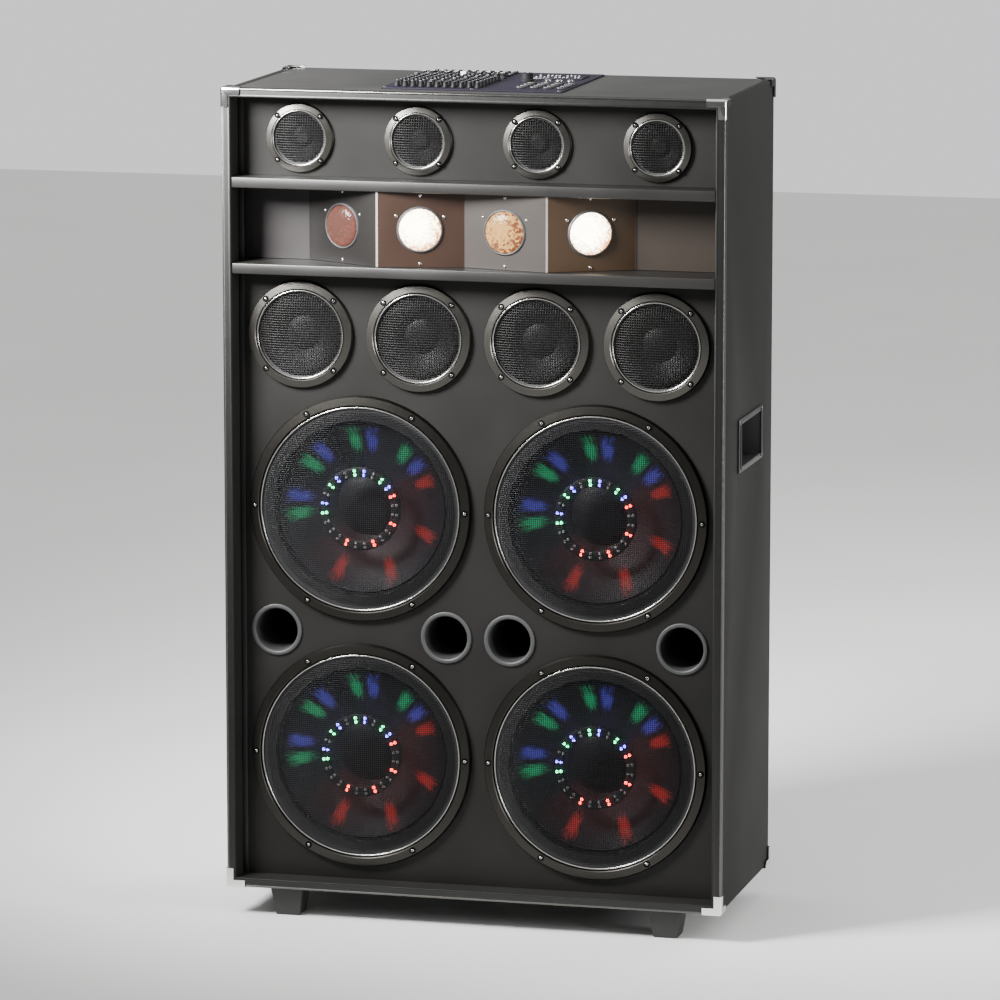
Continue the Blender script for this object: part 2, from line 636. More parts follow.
def wire_mesh_tree():
    """A round, domed mesh of two crossing layers of straight wires."""
    tree, given, output = new_tree("domed_wire_mesh", (
        ("Marks", "NodeSocketGeometry"), ("Radius", "NodeSocketFloat"), ("Pitch", "NodeSocketFloat"),
        ("Wire", "NodeSocketFloat"), ("Dome", "NodeSocketFloat"), ("Roundness", "NodeSocketFloat"),
        ("Material", "NodeSocketMaterial"),
    ))
    radius, pitch = given["Radius"], given["Pitch"]
    count = maths(tree, "FLOOR", maths(tree, "DIVIDE", maths(tree, "MULTIPLY", radius, 2.0), pitch))
    half_pitch = maths(tree, "MULTIPLY", pitch, -0.5)
    half_run = maths(tree, "MULTIPLY", maths(tree, "SUBTRACT", count, 1.0), half_pitch)
    row = add(tree, "GeometryNodeMeshLine", {
        "Count": count, "Start Location": vector(tree, half_run), "Offset": vector(tree, pitch),
    })
    rod = add(tree, "GeometryNodeCurvePrimitiveLine", {"Start": (0, -1, 0), "End": (0, 1, 0)})
    rod = add(tree, "GeometryNodeResampleCurve", {"Curve": rod.outputs[0], "Count": 12})
    spot = add(tree, "GeometryNodeInputPosition").outputs[0]
    x = add(tree, "ShaderNodeSeparateXYZ", {0: spot}).outputs["X"]
    squares = maths(tree, "MULTIPLY", radius, radius), maths(tree, "MULTIPLY", x, x)
    chord = maths(tree, "SQRT", maths(tree, "MAXIMUM", maths(tree, "SUBTRACT", *squares), 1e-7))
    rods = add(tree, "GeometryNodeInstanceOnPoints", {
        "Points": row.outputs[0], "Instance": rod.outputs[0], "Scale": vector(tree, 1.0, chord, 1.0),
    })
    real = add(tree, "GeometryNodeRealizeInstances", {0: rods.outputs[0]})
    away = add(tree, "ShaderNodeVectorMath", {0: spot}, operation="LENGTH").outputs["Value"]
    fall = maths(tree, "POWER", maths(tree, "DIVIDE", away, radius), given["Roundness"])
    rise = maths(tree, "MULTIPLY", given["Dome"], maths(tree, "SUBTRACT", 1.0, fall))
    bent = add(tree, "GeometryNodeSetPosition", {
        "Geometry": real.outputs[0], "Offset": vector(tree, 0.0, 0.0, rise),
    })
    half_wire = maths(tree, "MULTIPLY", given["Wire"], 0.5)
    section = add(tree, "GeometryNodeCurvePrimitiveCircle", {"Resolution": 4, "Radius": half_wire})
    wires = add(tree, "GeometryNodeCurveToMesh", {
        "Curve": bent.outputs[0], "Profile Curve": section.outputs[0], "Fill Caps": True,
    })
    over = maths(tree, "MULTIPLY", given["Wire"], 0.85)
    crossing = add(tree, "GeometryNodeTransform", {
        "Geometry": wires.outputs[0], "Translation": vector(tree, 0.0, 0.0, over),
        "Rotation": (0.0, 0.0, math.pi / 2),
    })
    both = add(tree, "GeometryNodeJoinGeometry")
    for layer in (wires, crossing):
        tree.links.new(layer.outputs[0], both.inputs[0])
    end_tree(tree, both.outputs[0], given["Material"], output)
    return tree


def grown(carrier_mesh, tree_name, **values):
    """Plain mesh that a tree makes from a carrier mesh and its named inputs."""
    tree = TREES[tree_name]
    carrier = linked("carrier", carrier_mesh)
    modifier = carrier.modifiers.new("grow", "NODES")
    modifier.node_group = tree
    for item in tree.interface.items_tree:
        if item.in_out == "INPUT" and item.name in values:
            modifier[item.identifier] = values[item.name]
    graph = bpy.context.evaluated_depsgraph_get()
    mesh = bpy.data.meshes.new_from_object(carrier.evaluated_get(graph))
    bpy.data.objects.remove(carrier, do_unlink=True)
    return mesh


def scattered(part_mesh, marks, material):
    """Mesh of a part set on marks, each a (position, Euler turn) pair."""
    carrier = bpy.data.meshes.new("marks")
    carrier.from_pydata([tuple(position) for position, _ in marks], [], [])
    attribute = carrier.attributes.new("turn", "FLOAT_VECTOR", "POINT")
    attribute.data.foreach_set("vector", [part for _, turn in marks for part in turn])
    template = linked("template", part_mesh)
    mesh = grown(carrier, "scatter", Part=template, Material=MATERIALS[material])
    bpy.data.objects.remove(template, do_unlink=True)
    return mesh


def screw_mesh(radius, height):
    """Pan head with a cross recess; its top faces +Z and it sits on z = 0."""
    outline = [(0.0, height), (radius * 0.55, height * 0.93), (radius * 0.85, height * 0.68)]
    outline += [(radius, height * 0.30), (radius, 0.0), (0.0, 0.0)]
    head = turned(outline, 20)
    arm, thick = radius * 0.58, radius * 0.13
    low, high = height * 0.35, height * 1.5
    cross = [
        block((-arm, -thick, low), (arm, thick, high)), block((-thick, -arm, low), (thick, arm, high)),
    ]
    return cut_mesh(head, cross)


def around(radius, count, first, height, lean):
    """Marks round a circle; first is the first mark's angle in degrees, lean tips them outward."""
    marks = []
    for number in range(count):
        angle = math.radians(first) + 2 * math.pi * number / count
        spot = (radius * math.cos(angle), radius * math.sin(angle), height)
        marks.append((spot, (0.0, lean, angle)))
    return marks


# ---------------------------------------------------------------- cabinet
def build_boards():
    edge = bpy.context.scene.party_speaker.cabinet.edge
    skins = {
        "side_panel_left": "vinyl", "side_panel_right": "vinyl", "rear_panel": "vinyl",
        "bottom_panel": "vinyl", "top_panel": "top_vinyl", "upper_shelf": "shelf", "lower_shelf": "shelf",
    }
    for node, skin in skins.items():
        piece(f"{node}_covered", rounded_copy(node, edge), skin, replaced=(node,))
    for node in ("main_baffle", "tweeter_baffle"):
        painted(node, "baffle")


def build_battens():
    """Narrow strips that close the joint of baffle and side wall, between the boards."""
    width = bpy.context.scene.party_speaker.cabinet.batten
    gap = 0.0004
    heights = (
        (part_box("bottom_panel")[1].z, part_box("lower_shelf")[0].z),
        (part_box("lower_shelf")[1].z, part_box("upper_shelf")[0].z),
        (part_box("upper_shelf")[1].z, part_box("top_panel")[0].z),
    )
    for side, sign in (("left", -1), ("right", 1)):
        for row, (low, high) in zip(("woofer", "light", "tweeter"), heights):
            near, far = sorted((sign * (INNER_X - 0.0002), sign * (INNER_X - width)))
            front, back = BAFFLE_Y - 0.0028, BAFFLE_Y - 0.0003
            mesh = block((near, front, low + gap), (far, back, high - gap), 0.0006)
            piece(f"{row}_batten_{side}", mesh, "batten")


def swept_frame(section):
    """Section of (outward, forward) points, mitred round the front opening's four corners."""
    corners = ((-1, BOTTOM_Z, -1), (1, BOTTOM_Z, -1), (1, TOP_Z, 1), (-1, TOP_Z, 1))
    bm = bmesh.new()
    rings = []
    for sign, z, up in corners:
        rings.append([
            bm.verts.new((sign * (SIDE_X + out), FRONT_Y - fore, z + up * out)) for out, fore in section
        ])
    for index in range(4):
        here, there = rings[index], rings[(index + 1) % 4]
        for step in range(len(section)):
            after = (step + 1) % len(section)
            bm.faces.new((here[step], here[after], there[after], there[step]))
    return clean(bm)


def build_edge_trim():
    """Dark edge strip with a groove and an inner bead, and a bright rounded outer corner."""
    strip = [
        (0.0003, -0.0117), (0.0013, -0.0117), (0.0013, -0.0022), (0.0004, -0.0018), (-0.0014, 0.0006),
        (-0.0024, 0.0008), (-0.0076, 0.0008), (-0.0084, 0.0012), (-0.0094, 0.0016), (-0.0105, 0.0015),
        (-0.0116, 0.0009), (-0.0117, 0.0003), (0.0003, 0.0003),
    ]
    piece("front_edge_strip", swept_frame(strip), "trim", replaced=("edge_trim",))
    bead = [(out - 0.0005, fore - 0.0005) for out, fore in arc((0.0, 0.0), 0.0020, -15, 105, 8)]
    bead += [(-0.0018, 0.0006), (0.0002, 0.0001), (0.0006, -0.0018)]
    piece("front_edge_bead", swept_frame(bead), "bead")


def corner_shell(leg, width):
    """Rounded three-sided cap whose outer corner is at the origin and which lies in -X, -Y, -Z."""
    thick, radius = 0.0013, 0.0036
    bm = bmesh.new()
    cube = Matrix.Translation((-leg / 2,) * 3) @ Matrix.Scale(leg, 4)
    bmesh.ops.create_cube(bm, size=1.0, matrix=cube)
    outer = [e for e in bm.edges if sum(max(v.co[i] for v in e.verts) > -leg / 4
                                        and min(v.co[i] for v in e.verts) > -leg / 4
                                        for i in range(3)) == 2]
    bmesh.ops.bevel(bm, geom=outer, offset=radius, segments=4, profile=0.5, affect="EDGES")
    far, past = -leg - 0.01, 0.01
    cutters = [
        block((far, far, far), (-thick, -thick, -thick)),
        block((far, far, far), (past, -width, -width)),
        block((far, far, far), (-width, past, -width)),
        block((far, far, far), (-width, -width, past)),
    ]
    return cut_mesh(clean(bm), cutters)


def build_corner_protectors():
    cabinet = bpy.context.scene.party_speaker.cabinet
    for node in [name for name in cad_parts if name.startswith("corner_protector")]:
        low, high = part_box(node)
        signs = [1 if middle(node)[axis] > (0, 0, 0.6)[axis] else -1 for axis in range(3)]
        corner = [high[axis] if signs[axis] > 0 else low[axis] for axis in range(3)]
        mesh = corner_shell(cabinet.corner_leg, cabinet.corner_width)
        matrix = Matrix.Translation(corner) @ Matrix.Diagonal((*signs, 1.0))
        piece(f"{node}_cap", mesh, "chrome", matrix=matrix, replaced=(node,))


def build_feet():
    for node in [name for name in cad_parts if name.startswith("foot_")]:
        mesh = rounded_copy(node, 0.0022, 3)
        piece(f"{node}_block", mesh, "foot", replaced=(node,))


def build_handles():
    """Pocket handles with a bright-edged rib at each end of the mouth and four screws."""
    screw = screw_mesh(0.0026, 0.0012)
    face = SIDE_X + 0.0025
    screw_y, screw_z = 0.0752, 0.034
    rib_y, rib_half_width, rib_half_height = 0.0700, 0.0016, 0.036
    for side, sign in (("left", -1), ("right", 1)):
        node = f"side_handle_{side}"
        centre = middle(node)
        mesh = rounded_copy(node, 0.0010, 3)
        piece(f"{node}_shell", mesh, "plastic", replaced=(node,))
        marks = []
        for end, way in (("front", -1), ("rear", 1)):
            y = centre.y + way * rib_y
            low = (-0.0002, y - rib_half_width, centre.z - rib_half_height)
            high = (0.0022, y + rib_half_width, centre.z + rib_half_height)
            rib = block(low, high, 0.0009, 3)
            matrix = Matrix.Translation((sign * (face - 0.0008), 0, 0)) @ Matrix.Diagonal((sign, 1, 1, 1))
            piece(f"handle_rib_{side}_{end}", rib, "plastic", matrix=matrix)
            for up in (-screw_z, screw_z):
                spot = (sign * (face - 0.0002), centre.y + way * screw_y, centre.z + up)
                marks.append((spot, Euler((0.0, sign * math.pi / 2, 0.3))))
        mesh = scattered(screw.copy(), marks, "screw")
        piece(f"handle_screws_{side}", mesh, "screw")


def build_board_screws():
    """Screws that hold the rear board, set along its edge."""
    low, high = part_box("rear_panel")
    inset, columns, rows = 0.012, 4, 7
    left, right, bottom, top = low.x + inset, high.x - inset, low.z + inset, high.z - inset
    y = high.y - 0.0002
    marks = []
    for column in range(columns + 1):
        x = left + (right - left) * column / columns
        marks += [((x, y, z), Euler((-math.pi / 2, 0.0, 0.4))) for z in (bottom, top)]
    for row in range(1, rows):
        z = bottom + (top - bottom) * row / rows
        marks += [((x, y, z), Euler((-math.pi / 2, 0.0, 0.9))) for x in (left, right)]
    mesh = scattered(screw_mesh(0.0038, 0.0018), marks, "screw")
    piece("rear_board_screws", mesh, "screw")


# ---------------------------------------------------------------- loudspeakers
def ring_outline(outer, inner, height, step_r):
    """Section of a trim ring: low flange, slope up to a crest, and a short fall to its mouth."""
    width = outer - inner
    return [
        (outer, 0.0003), (outer, height * 0.22), (outer - 0.0006, height * 0.34),
        (outer - width * 0.06, height * 0.60), (outer - width * 0.12, height * 0.78),
        (inner + width * 0.34, height * 0.98), (inner + width * 0.28, height),
        (inner + width * 0.22, height * 0.90), (inner + width * 0.18, height * 0.50),
        (step_r, height * 0.50), (step_r, 0.0003),
    ]


def ring_slope(width, height):
    """Angle at which a ring's face falls away from its mouth."""
    return math.atan2(height * 0.20, width * 0.54)


def build_ring(name, node, x, z, outer, inner, height, step_r, material="ring"):
    """Trim ring with a bright lip round its mouth and a black seat for the mesh."""
    matrix = at_front(x, z)
    mesh = turned(ring_outline(outer, inner, height, step_r), 128)
    piece(name, mesh, material, matrix=matrix, replaced=(node,))
    lip = arc((inner + 0.0012, height * 0.66), 0.0012, 0, 330, 11)
    piece(f"{name}_lip", turned(lip, 128), "lip", matrix=matrix)
    near, far = inner - 0.0030, inner + 0.0016
    seat = [(near, 0.0010), (far, 0.0010), (far, height * 0.36), (near, height * 0.22)]
    piece(f"{name}_seat", turned(seat, 96), "batten", matrix=matrix)


def build_mesh(name, x, z, radius, base, pitch, wire, dome, roundness, material="mesh"):
    """Domed wire mesh whose rim lies base above the baffle."""
    carrier = bpy.data.meshes.new("carrier")
    mesh = grown(carrier, "wire_mesh", Radius=radius, Pitch=pitch, Wire=wire, Dome=dome,
                 Roundness=roundness, Material=MATERIALS[material])
    matrix = at_front(x, z) @ Matrix.Translation((0.0, 0.0, base))
    piece(name, mesh, material, matrix=matrix)


def build_screws(name, x, z, marks, radius, height):
    """Screws in black recesses let into a ring's face."""
    matrix = at_front(x, z)
    rim, floor = radius * 1.50, -0.0028
    cup = [(0.0, 0.0), (radius * 1.08, 0.0), (radius * 1.12, 0.0006), (rim, 0.0007)]
    cup += [(rim, floor), (0.0, floor)]
    mesh = scattered(turned(cup, 24), marks, "recess")
    piece(f"{name}_recesses", mesh, "recess", matrix=matrix)
    mesh = scattered(screw_mesh(radius * 0.86, height), marks, "screw")
    piece(name, mesh, "screw", matrix=matrix)


def flat_uv(mesh, reach):
    """UV map laid flat over a turned mesh before it is put in place; its edge is reach away."""
    layer = mesh.uv_layers.new(name="flat")
    for loop in mesh.loops:
        spot = mesh.vertices[loop.vertex_index].co
        layer.data[loop.index].uv = (0.5 + 0.5 * spot.x / reach, 0.5 + 0.5 * spot.y / reach)


def cone_outline():
    """Section of a cone: dust cap, slightly bowed face, then its back and the voice coil."""
    outline = [(0.0, -0.0300), (0.018, -0.0312), (0.034, -0.0352), (0.044, -0.0408), (0.0470, -0.0432)]
    outline += [(0.0480, -0.0426)]
    steps, bow = 12, 0.0022
    for step in range(steps + 1):
        way = step / steps
        dip = bow * math.sin(math.pi * way)
        outline.append((0.050 + 0.0745 * way, -0.0415 + 0.0360 * way - dip))
    outline += [(0.1258, -0.0062), (0.1262, -0.0075), (0.048, -0.0455), (0.026, -0.0455), (0.026, -0.080)]
    outline += [(0.0245, -0.080), (0.0245, -0.041), (0.0, -0.0335)]
    return outline


def build_woofer(place):
    """A woofer: ring, mesh and screws in front, then its cone, surround and LED ring."""
    settings = bpy.context.scene.party_speaker.woofer
    grille, cone, basket = f"woofer_grille_{place}", f"woofer_cone_{place}", f"woofer_frame_{place}"
    spot = middle(grille)
    x, z = spot.x, spot.z
    outer, inner, height, step_r, screw_r = 0.1665, 0.1480, 0.0100, 0.1530, 0.1583
    build_ring(f"woofer_ring_{place}", grille, x, z, outer, inner, height, step_r, "dark_ring")
    build_mesh(f"woofer_mesh_{place}", x, z, inner - 0.0024, height * 0.36, settings.pitch,
               settings.wire, settings.dome, 6.0, "fine_mesh")
    marks = around(screw_r, settings.screws, 0.0, height * 0.94, ring_slope(outer - inner, height))
    build_screws(f"woofer_screws_{place}", x, z, marks, 0.0032, 0.0022)

    mesh = turned(cone_outline(), 96)
    flat_uv(mesh, CONE_UV_REACH)
    piece(f"woofer_cone_body_{place}", mesh, "cone", cone, at_front(x, z), (cone,))

    roll = [(0.1268, -0.0048)] + arc((0.1332, -0.0045), 0.0056, 175, 5, 10) + [(0.1400, -0.0040)]
    roll += [(0.1400, -0.0052)] + arc((0.1332, -0.0053), 0.0044, 5, 175, 8)
    piece(f"woofer_surround_{place}", turned(roll, 96), "rubber", matrix=at_front(x, z))
    painted(basket, "steel")
    build_led_ring(place, x, z, settings.led_radius)


def build_led_ring(place, x, z, radius):
    """Ring board under the mesh: an outer circle of LEDs, each with a small one inside it."""
    matrix = at_front(x, z)
    board = [(0.0612, 0.0020), (0.0612, 0.0056), (0.0600, 0.0064), (0.0482, 0.0064), (0.0472, 0.0058)]
    board += [(0.0472, 0.0020)]
    piece(f"led_board_{place}", turned(board, 96), "rubber", matrix=matrix)
    dome = turned([(0.0, 0.0026), (0.0012, 0.0023), (0.0020, 0.0013), (0.0023, 0.0), (0.0, 0.0)], 12)
    inner_step = 0.0060
    groups = {}
    for number in range(LED_COUNT):
        angle = math.radians(LED_FIRST_ANGLE - 360.0 * number / LED_COUNT)
        tone = LED_COLOURS[number % 3] if number in LIT_LEDS else "unlit_led"
        for reach in (radius, radius - inner_step):
            mark = (reach * math.cos(angle), reach * math.sin(angle), 0.0062)
            groups.setdefault(tone, []).append((mark, (0.0, 0.0, angle)))
    for tone, marks in groups.items():
        mesh = scattered(dome.copy(), marks, tone)
        name = tone if tone == "unlit_led" else f"{tone}_led"
        piece(f"{name}s_{place}", mesh, tone, matrix=matrix)


def build_small_driver(node, kind):
    """A mid or a tweeter: ring, mesh, screws and the diaphragm behind the mesh."""
    settings = bpy.context.scene.party_speaker.driver
    spot = middle(node)
    x, z = spot.x, spot.z
    sizes = {
        "mid": (0.079, 0.063, 0.0088, 0.0600, 0.0085, 4.0, 0.0721, 0.0030),
        "tweeter": (0.0505, 0.0385, 0.0068, 0.0365, 0.0052, 2.6, 0.0454, 0.0027),
    }
    outer, inner, height, inside, dome, roundness, screw_r, screw = sizes[kind]
    build_ring(f"{node}_ring", node, x, z, outer, inner, height, outer - 0.006)
    build_mesh(f"{node}_mesh", x, z, inner - 0.0022, height * 0.22, settings.pitch, settings.wire,
               dome, roundness)
    marks = around(screw_r, settings.screws, 45.0, height * 0.94, ring_slope(outer - inner, height))
    build_screws(f"{node}_screws", x, z, marks, screw, 0.0020)
    cup = [(0.0, -0.012), (inside * 0.25, -0.0115), (inside * 0.42, -0.016), (inside * 0.95, 0.0005)]
    cup += [(outer - 0.008, 0.0005), (outer - 0.008, -0.0030), (inside, -0.0200), (inside * 0.5, -0.040)]
    cup += [(0.0, -0.040)]
    piece(f"{node}_diaphragm", turned(cup, 64), "rubber", matrix=at_front(x, z))


def build_port(node):
    """Bass port: rounded flange and the tube behind it."""
    spot = middle(node)
    low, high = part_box(node)
    flange, bore, length_in = (high.x - low.x) / 2, 0.0315, high.y - BAFFLE_Y
    outline = [(flange, 0.0003), (flange, 0.0016)] + arc((flange - 0.0014, 0.0016), 0.0014, 0, 90, 4)[1:]
    outline += [(bore + 0.0030, 0.0034)] + arc((bore + 0.0030, 0.0004), 0.0030, 90, 180, 6)[1:]
    outline += [(bore, -0.030), (bore, -length_in), (0.0342, -length_in), (0.0342, 0.0003)]
    mesh = turned(list(reversed(outline)), 96)
    matrix = at_front(spot.x, spot.z)
    piece(f"{node}_moulding", mesh, "port", matrix=matrix, replaced=(node,))


# ---------------------------------------------------------------- effect lights
def panel_corners():
    """The folded light panel's corners along its front face, from left to right."""
    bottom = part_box("light_panel")[0].z
    seen = set()
    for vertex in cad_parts["light_panel"].data.vertices:
        if vertex.co.z < bottom + 1e-5:
            seen.add((round(vertex.co.x, 4), round(vertex.co.y, 4)))
    columns = {}
    for x, y in seen:
        columns[x] = min(y, columns.get(x, y))
    return [Vector((x, columns[x])) for x in sorted(columns)]


def light_frames():
    """Centre and facing matrix of each effect light, read from the folded panel's corners."""
    height = middle("light_panel").z
    corners = panel_corners()
    frames = []
    for number in range(1, 5):
        start, end = corners[number], corners[number + 1]
        centre, run = (start + end) / 2, (end - start).normalized()
        turn = Matrix.Rotation(math.atan2(run.y, run.x), 4, "Z")
        spot = Matrix.Translation((centre.x, centre.y, height))
        frames.append((number, spot @ turn @ FRONT_TURN))
    return frames


def build_light_panel():
    mesh = rounded_copy("light_panel", 0.0006, 2, FLAT_ANGLE)
    piece("folded_light_panel", mesh, "light_panel", replaced=("light_panel",))


def build_effect_light(number, matrix):
    """A lens in its bezel, the lamp housing behind it and four screws in the sheet."""
    settings = bpy.context.scene.party_speaker.lights
    radius = settings.lens_radius
    node = f"effect_light_{number}"
    dome, steps, rise = [], 8, 0.0085
    for step in range(steps + 1):
        turn = math.radians(90 * step / steps)
        dome.append((radius * math.sin(turn), 0.0010 + rise * math.cos(turn)))
    dome += [(radius, -0.0060), (0.0, -0.0060)]
    mesh = turned(dome, 64)
    flat_uv(mesh, radius)
    piece(f"{node}_lens", mesh, LENSES[number], matrix=matrix, replaced=(node,))
    bezel = [(0.0302, -0.0020), (0.0302, 0.0012)] + arc((0.0315, 0.0012), 0.0013, 180, 20, 6)
    bezel += [(0.0338, 0.0003), (0.0338, -0.0001), (0.0316, -0.0001), (0.0316, -0.0020)]
    mesh = turned(list(reversed(bezel)), 64)
    piece(f"{node}_bezel", mesh, "port", matrix=matrix)
    housing = [(0.0, -0.0062), (0.0312, -0.0062), (0.0312, -0.0022), (0.044, -0.0022), (0.044, -0.006)]
    housing += [(0.0375, -0.0062), (0.036, -0.010), (0.036, -0.052), (0.033, -0.055), (0.0, -0.055)]
    piece(f"{node}_housing", turned(housing, 64), "plastic", matrix=matrix)
    spots = ((0.0, 0.0500), (0.0, -0.0490), (-0.0345, 0.0200), (0.0345, 0.0190))
    marks = [((x, y, -0.0001), (0.0, 0.0, 0.3 + x * 40)) for x, y in spots]
    mesh = scattered(screw_mesh(0.0024, 0.0014), marks, "bright_screw")
    piece(f"{node}_screws", mesh, "bright_screw", matrix=matrix)


# ---------------------------------------------------------------- mixer, inlet
def knob_mesh(radius, height):
    """Fluted knob that stands on z = 0."""
    outline = [(0.0, height), (radius * 0.70, height), (radius * 0.82, height * 0.93)]
    outline += [(radius * 0.86, height * 0.35), (radius, height * 0.22), (radius, 0.0003), (0.0, 0.0003)]
    return turned(outline, 24)


def pointer_mesh(radius, height):
    """White line from a knob's middle to its rim, along +Y."""
    return block((-0.0006, 0.0, height - 0.0002), (0.0006, radius * 0.80, height + 0.0004), 0.0001, 1)


def fader_mesh():
    """Waisted fader cap that stands just above z = 0."""
    bm = bmesh.new()
    wide, deep = 0.0045, 0.0075
    rings = []
    foot, waist, top = (1.0, 1.0, 0.0008), (0.8, 0.75, 0.0045), (0.9, 0.9, 0.0088)
    for share_x, share_y, z in (foot, waist, top):
        half_x, half_y = wide * share_x, deep * share_y
        corners = ((-half_x, -half_y), (half_x, -half_y), (half_x, half_y), (-half_x, half_y))
        rings.append([bm.verts.new((x, y, z)) for x, y in corners])
    for lower, upper in zip(rings, rings[1:]):
        for index in range(4):
            after = (index + 1) % 4
            bm.faces.new((lower[index], lower[after], upper[after], upper[index]))
    bm.faces.new(rings[0])
    bm.faces.new(rings[-1])
    bmesh.ops.bevel(bm, geom=list(bm.edges), offset=0.0005, segments=2, profile=0.5, affect="EDGES")
    return clean(bm)


def on_plate(node):
    """Matrix that stands a piece on the mixer plate where a node is."""
    spot = middle(node)
    return Matrix.Translation((spot.x, spot.y, PLATE_TOP))


def build_mixer():
    """Mixer plate with rows of knobs before and behind its faders, and the two knobs that move."""
    settings = bpy.context.scene.party_speaker.mixer
    mesh = rounded_copy("mixer_and_amplifier", 0.0004, 1, FLAT_ANGLE)
    piece("mixer_plate", mesh, "plate", replaced=("mixer_and_amplifier",))
    fader = middle("channel_fader")
    moving_knob = middle("microphone_volume_knob")
    xs = [moving_knob.x - settings.pitch * number for number in range(settings.columns)]
    front_pitch, rear_gap, rear_pitch = 0.0185, 0.0260, 0.0155
    front_rows = [moving_knob.y - front_pitch * step for step in range(7)]
    rear_rows = [fader.y + rear_gap + rear_pitch * step for step in range(4)]
    groups = (("channel", front_rows, 0.0046, 0.0085), ("level", rear_rows, 0.0042, 0.0034))
    for name, rows, radius, height in groups:
        knobs = []
        for row, y in enumerate(rows):
            for column, x in enumerate(xs):
                if abs(x - moving_knob.x) > SAME_PLACE or abs(y - moving_knob.y) > SAME_PLACE:
                    turn = math.radians(((row * 37 + column * 53) % 9 - 4) * 22)
                    knobs.append(((x, y, PLATE_TOP), (0.0, 0.0, turn)))
        mesh = scattered(knob_mesh(radius, height), knobs, "knob")
        piece(f"{name}_knobs", mesh, "knob")
        mesh = scattered(pointer_mesh(radius, height), knobs, "mark")
        piece(f"{name}_knob_pointers", mesh, "mark")

    build_faders(xs, fader)
    turning = (("master_volume_knob", 0.0105, 0.0130), ("microphone_volume_knob", 0.0055, 0.0110))
    for name, radius, height in turning:
        matrix = on_plate(name)
        piece(f"{name}_cap", knob_mesh(radius, height), "knob", name, matrix, (name,))
        piece(f"{name}_pointer", pointer_mesh(radius, height), "white", name, matrix)


def build_faders(xs, fader):
    """A slot in each column and a cap in each slot, one of which moves."""
    caps, slots, notch = [], [], 0.0030
    for column, x in enumerate(xs):
        slots.append(((x, fader.y, PLATE_TOP), NO_TURN))
        if abs(x - fader.x) > SAME_PLACE:
            caps.append(((x, fader.y + ((column * 5) % 7 - 3) * notch, PLATE_TOP), NO_TURN))
    piece("fader_caps", scattered(fader_mesh(), caps, "knob"), "knob")
    line = block((-0.0034, -0.0005, 0.0086), (0.0034, 0.0005, 0.0091))
    piece("fader_cap_lines", scattered(line, caps, "white"), "white")
    bezel = block((-0.0026, -0.0165, 0.0), (0.0026, 0.0165, 0.0003))
    opening = block((-0.0021, -0.0150, -0.001), (0.0021, 0.0150, 0.001))
    mesh = scattered(cut_mesh(bezel, [opening]), slots, "batten")
    piece("fader_slots", mesh, "batten")
    node = "channel_fader"
    piece("moving_fader_cap", fader_mesh(), "white", node, on_plate(node), (node,))


def build_player_panel():
    """Push-buttons on the mixer's right side, one of which moves."""
    node = "play_button"
    play, top = middle(node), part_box(node)[1].z
    mesh = rounded_copy(node, 0.0008, 2)
    piece("play_button_cap", mesh, "plastic", node, replaced=(node,))
    triangle = turned([(0.0, 0.0002), (0.0026, 0.0002), (0.0026, 0.0), (0.0, 0.0)], 3)
    matrix = Matrix.Translation((play.x, play.y, top))
    piece("play_mark", triangle, "white", node, matrix)
    pitch_x, pitch_y, first_y, above = 0.020, 0.021, 0.022, 0.0078
    buttons = []
    for row in range(3):
        for column in (-1, 0, 1, 2):
            spot = (play.x + column * pitch_x, play.y - first_y - row * pitch_y, PLATE_TOP)
            buttons.append((spot, NO_TURN))
    for column in (-1, 1, 2):
        buttons.append(((play.x + column * pitch_x, play.y, PLATE_TOP), NO_TURN))
    cap = block((-0.0058, -0.0048, 0.0), (0.0058, 0.0048, 0.0026), 0.0007, 2)
    piece("player_buttons", scattered(cap, buttons, "plastic"), "plastic")
    mark = block((-0.0040, -0.0004, 0.0), (0.0040, 0.0004, 0.0002))
    lines = [((x, y + above, z), turn) for (x, y, z), turn in buttons]
    piece("button_marks", scattered(mark, lines, "white"), "white")


def build_display():
    """Display window with rows of ticks on and above it, and the sockets before it."""
    low, high = (0.028, 0.056, PLATE_TOP), (0.106, 0.112, PLATE_TOP + 0.0020)
    piece("display_window", block(low, high, 0.0008, 2), "display")
    rows = ((0.122, 0.0), (0.098, 0.0019), (0.072, 0.0019))
    count, first_x, pitch = 12, 0.036, 0.0058
    ticks = []
    for y, lift in rows:
        for number in range(count):
            if (number * 7 + int(y * 1000)) % 5:
                ticks.append(((first_x + number * pitch, y, PLATE_TOP + lift), NO_TURN))
    bar = block((-0.0011, -0.0026, 0.0), (0.0011, 0.0026, 0.0004))
    piece("level_marks", scattered(bar, ticks, "white"), "white")
    sockets = [((0.062 + number * 0.017, 0.036, PLATE_TOP), NO_TURN) for number in range(3)]
    outline = [(0.0034, 0.0), (0.0034, 0.0022), (0.0048, 0.0022), (0.0055, 0.0018), (0.0055, 0.0)]
    mesh = scattered(turned(outline, 24), sockets, "bright_screw")
    piece("microphone_sockets", mesh, "bright_screw")


def build_mixer_screws():
    half_x, half_y = 0.129, 0.1275
    centre, z = middle("mixer_and_amplifier"), PLATE_TOP - 0.0001
    marks = []
    for x in (-1, 0, 1):
        for y in (-1, 1):
            marks.append(((centre.x + x * half_x, centre.y + y * half_y, z), (0.0, 0.0, 0.4)))
    mesh = scattered(screw_mesh(0.0026, 0.0012), marks, "screw")
    piece("mixer_screws", mesh, "screw")


